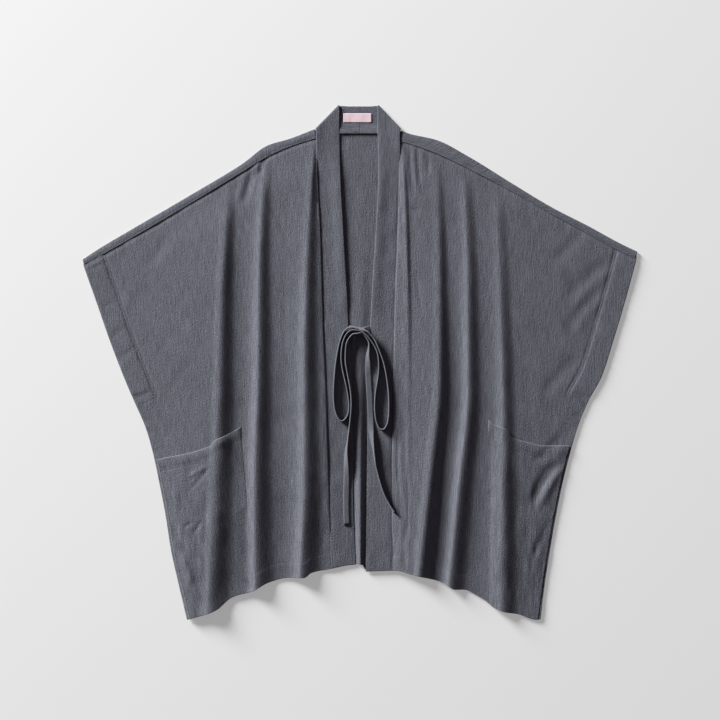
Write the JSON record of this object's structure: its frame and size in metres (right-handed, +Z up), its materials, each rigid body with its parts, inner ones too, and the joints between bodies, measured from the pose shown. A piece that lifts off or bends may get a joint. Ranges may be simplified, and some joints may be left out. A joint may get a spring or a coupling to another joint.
{
  "type": "kimono cardigan",
  "caption": "Open-front woven kimono cardigan with batwing sleeves, a long neckband, patch pockets and a tied bow, laid flat and face up.",
  "frame": {"origin": "middle of the garment's outline, on the surface it lies on", "axes": "+Y towards the neck, +Z up out of the fronts, +X towards the wearer's left sleeve"},
  "size_m": [0.9975, 0.925, 0.0179],
  "materials": {
    "cloth": "matte plain weave with fine upright slubs",
    "tie_cloth": "the same matte cloth, sewn into narrow straps",
    "label_tape": "fine woven tape with a soft sheen, blank"
  },
  "bodies": {
    "root": {"back_panel": "cloth", "front_right": "cloth", "front_left": "cloth", "pocket_right": "cloth", "pocket_left": "cloth", "neckband_right": "cloth", "neckband_left": "cloth", "neck_label": "label_tape", "tie_knot": "tie_cloth", "tie_right_root": "tie_cloth", "tie_right_loop": "tie_cloth", "tie_right_tail": "tie_cloth", "tie_left_root": "tie_cloth", "tie_left_loop": "tie_cloth", "tie_left_tail": "tie_cloth"}
  },
  "joints": []
}
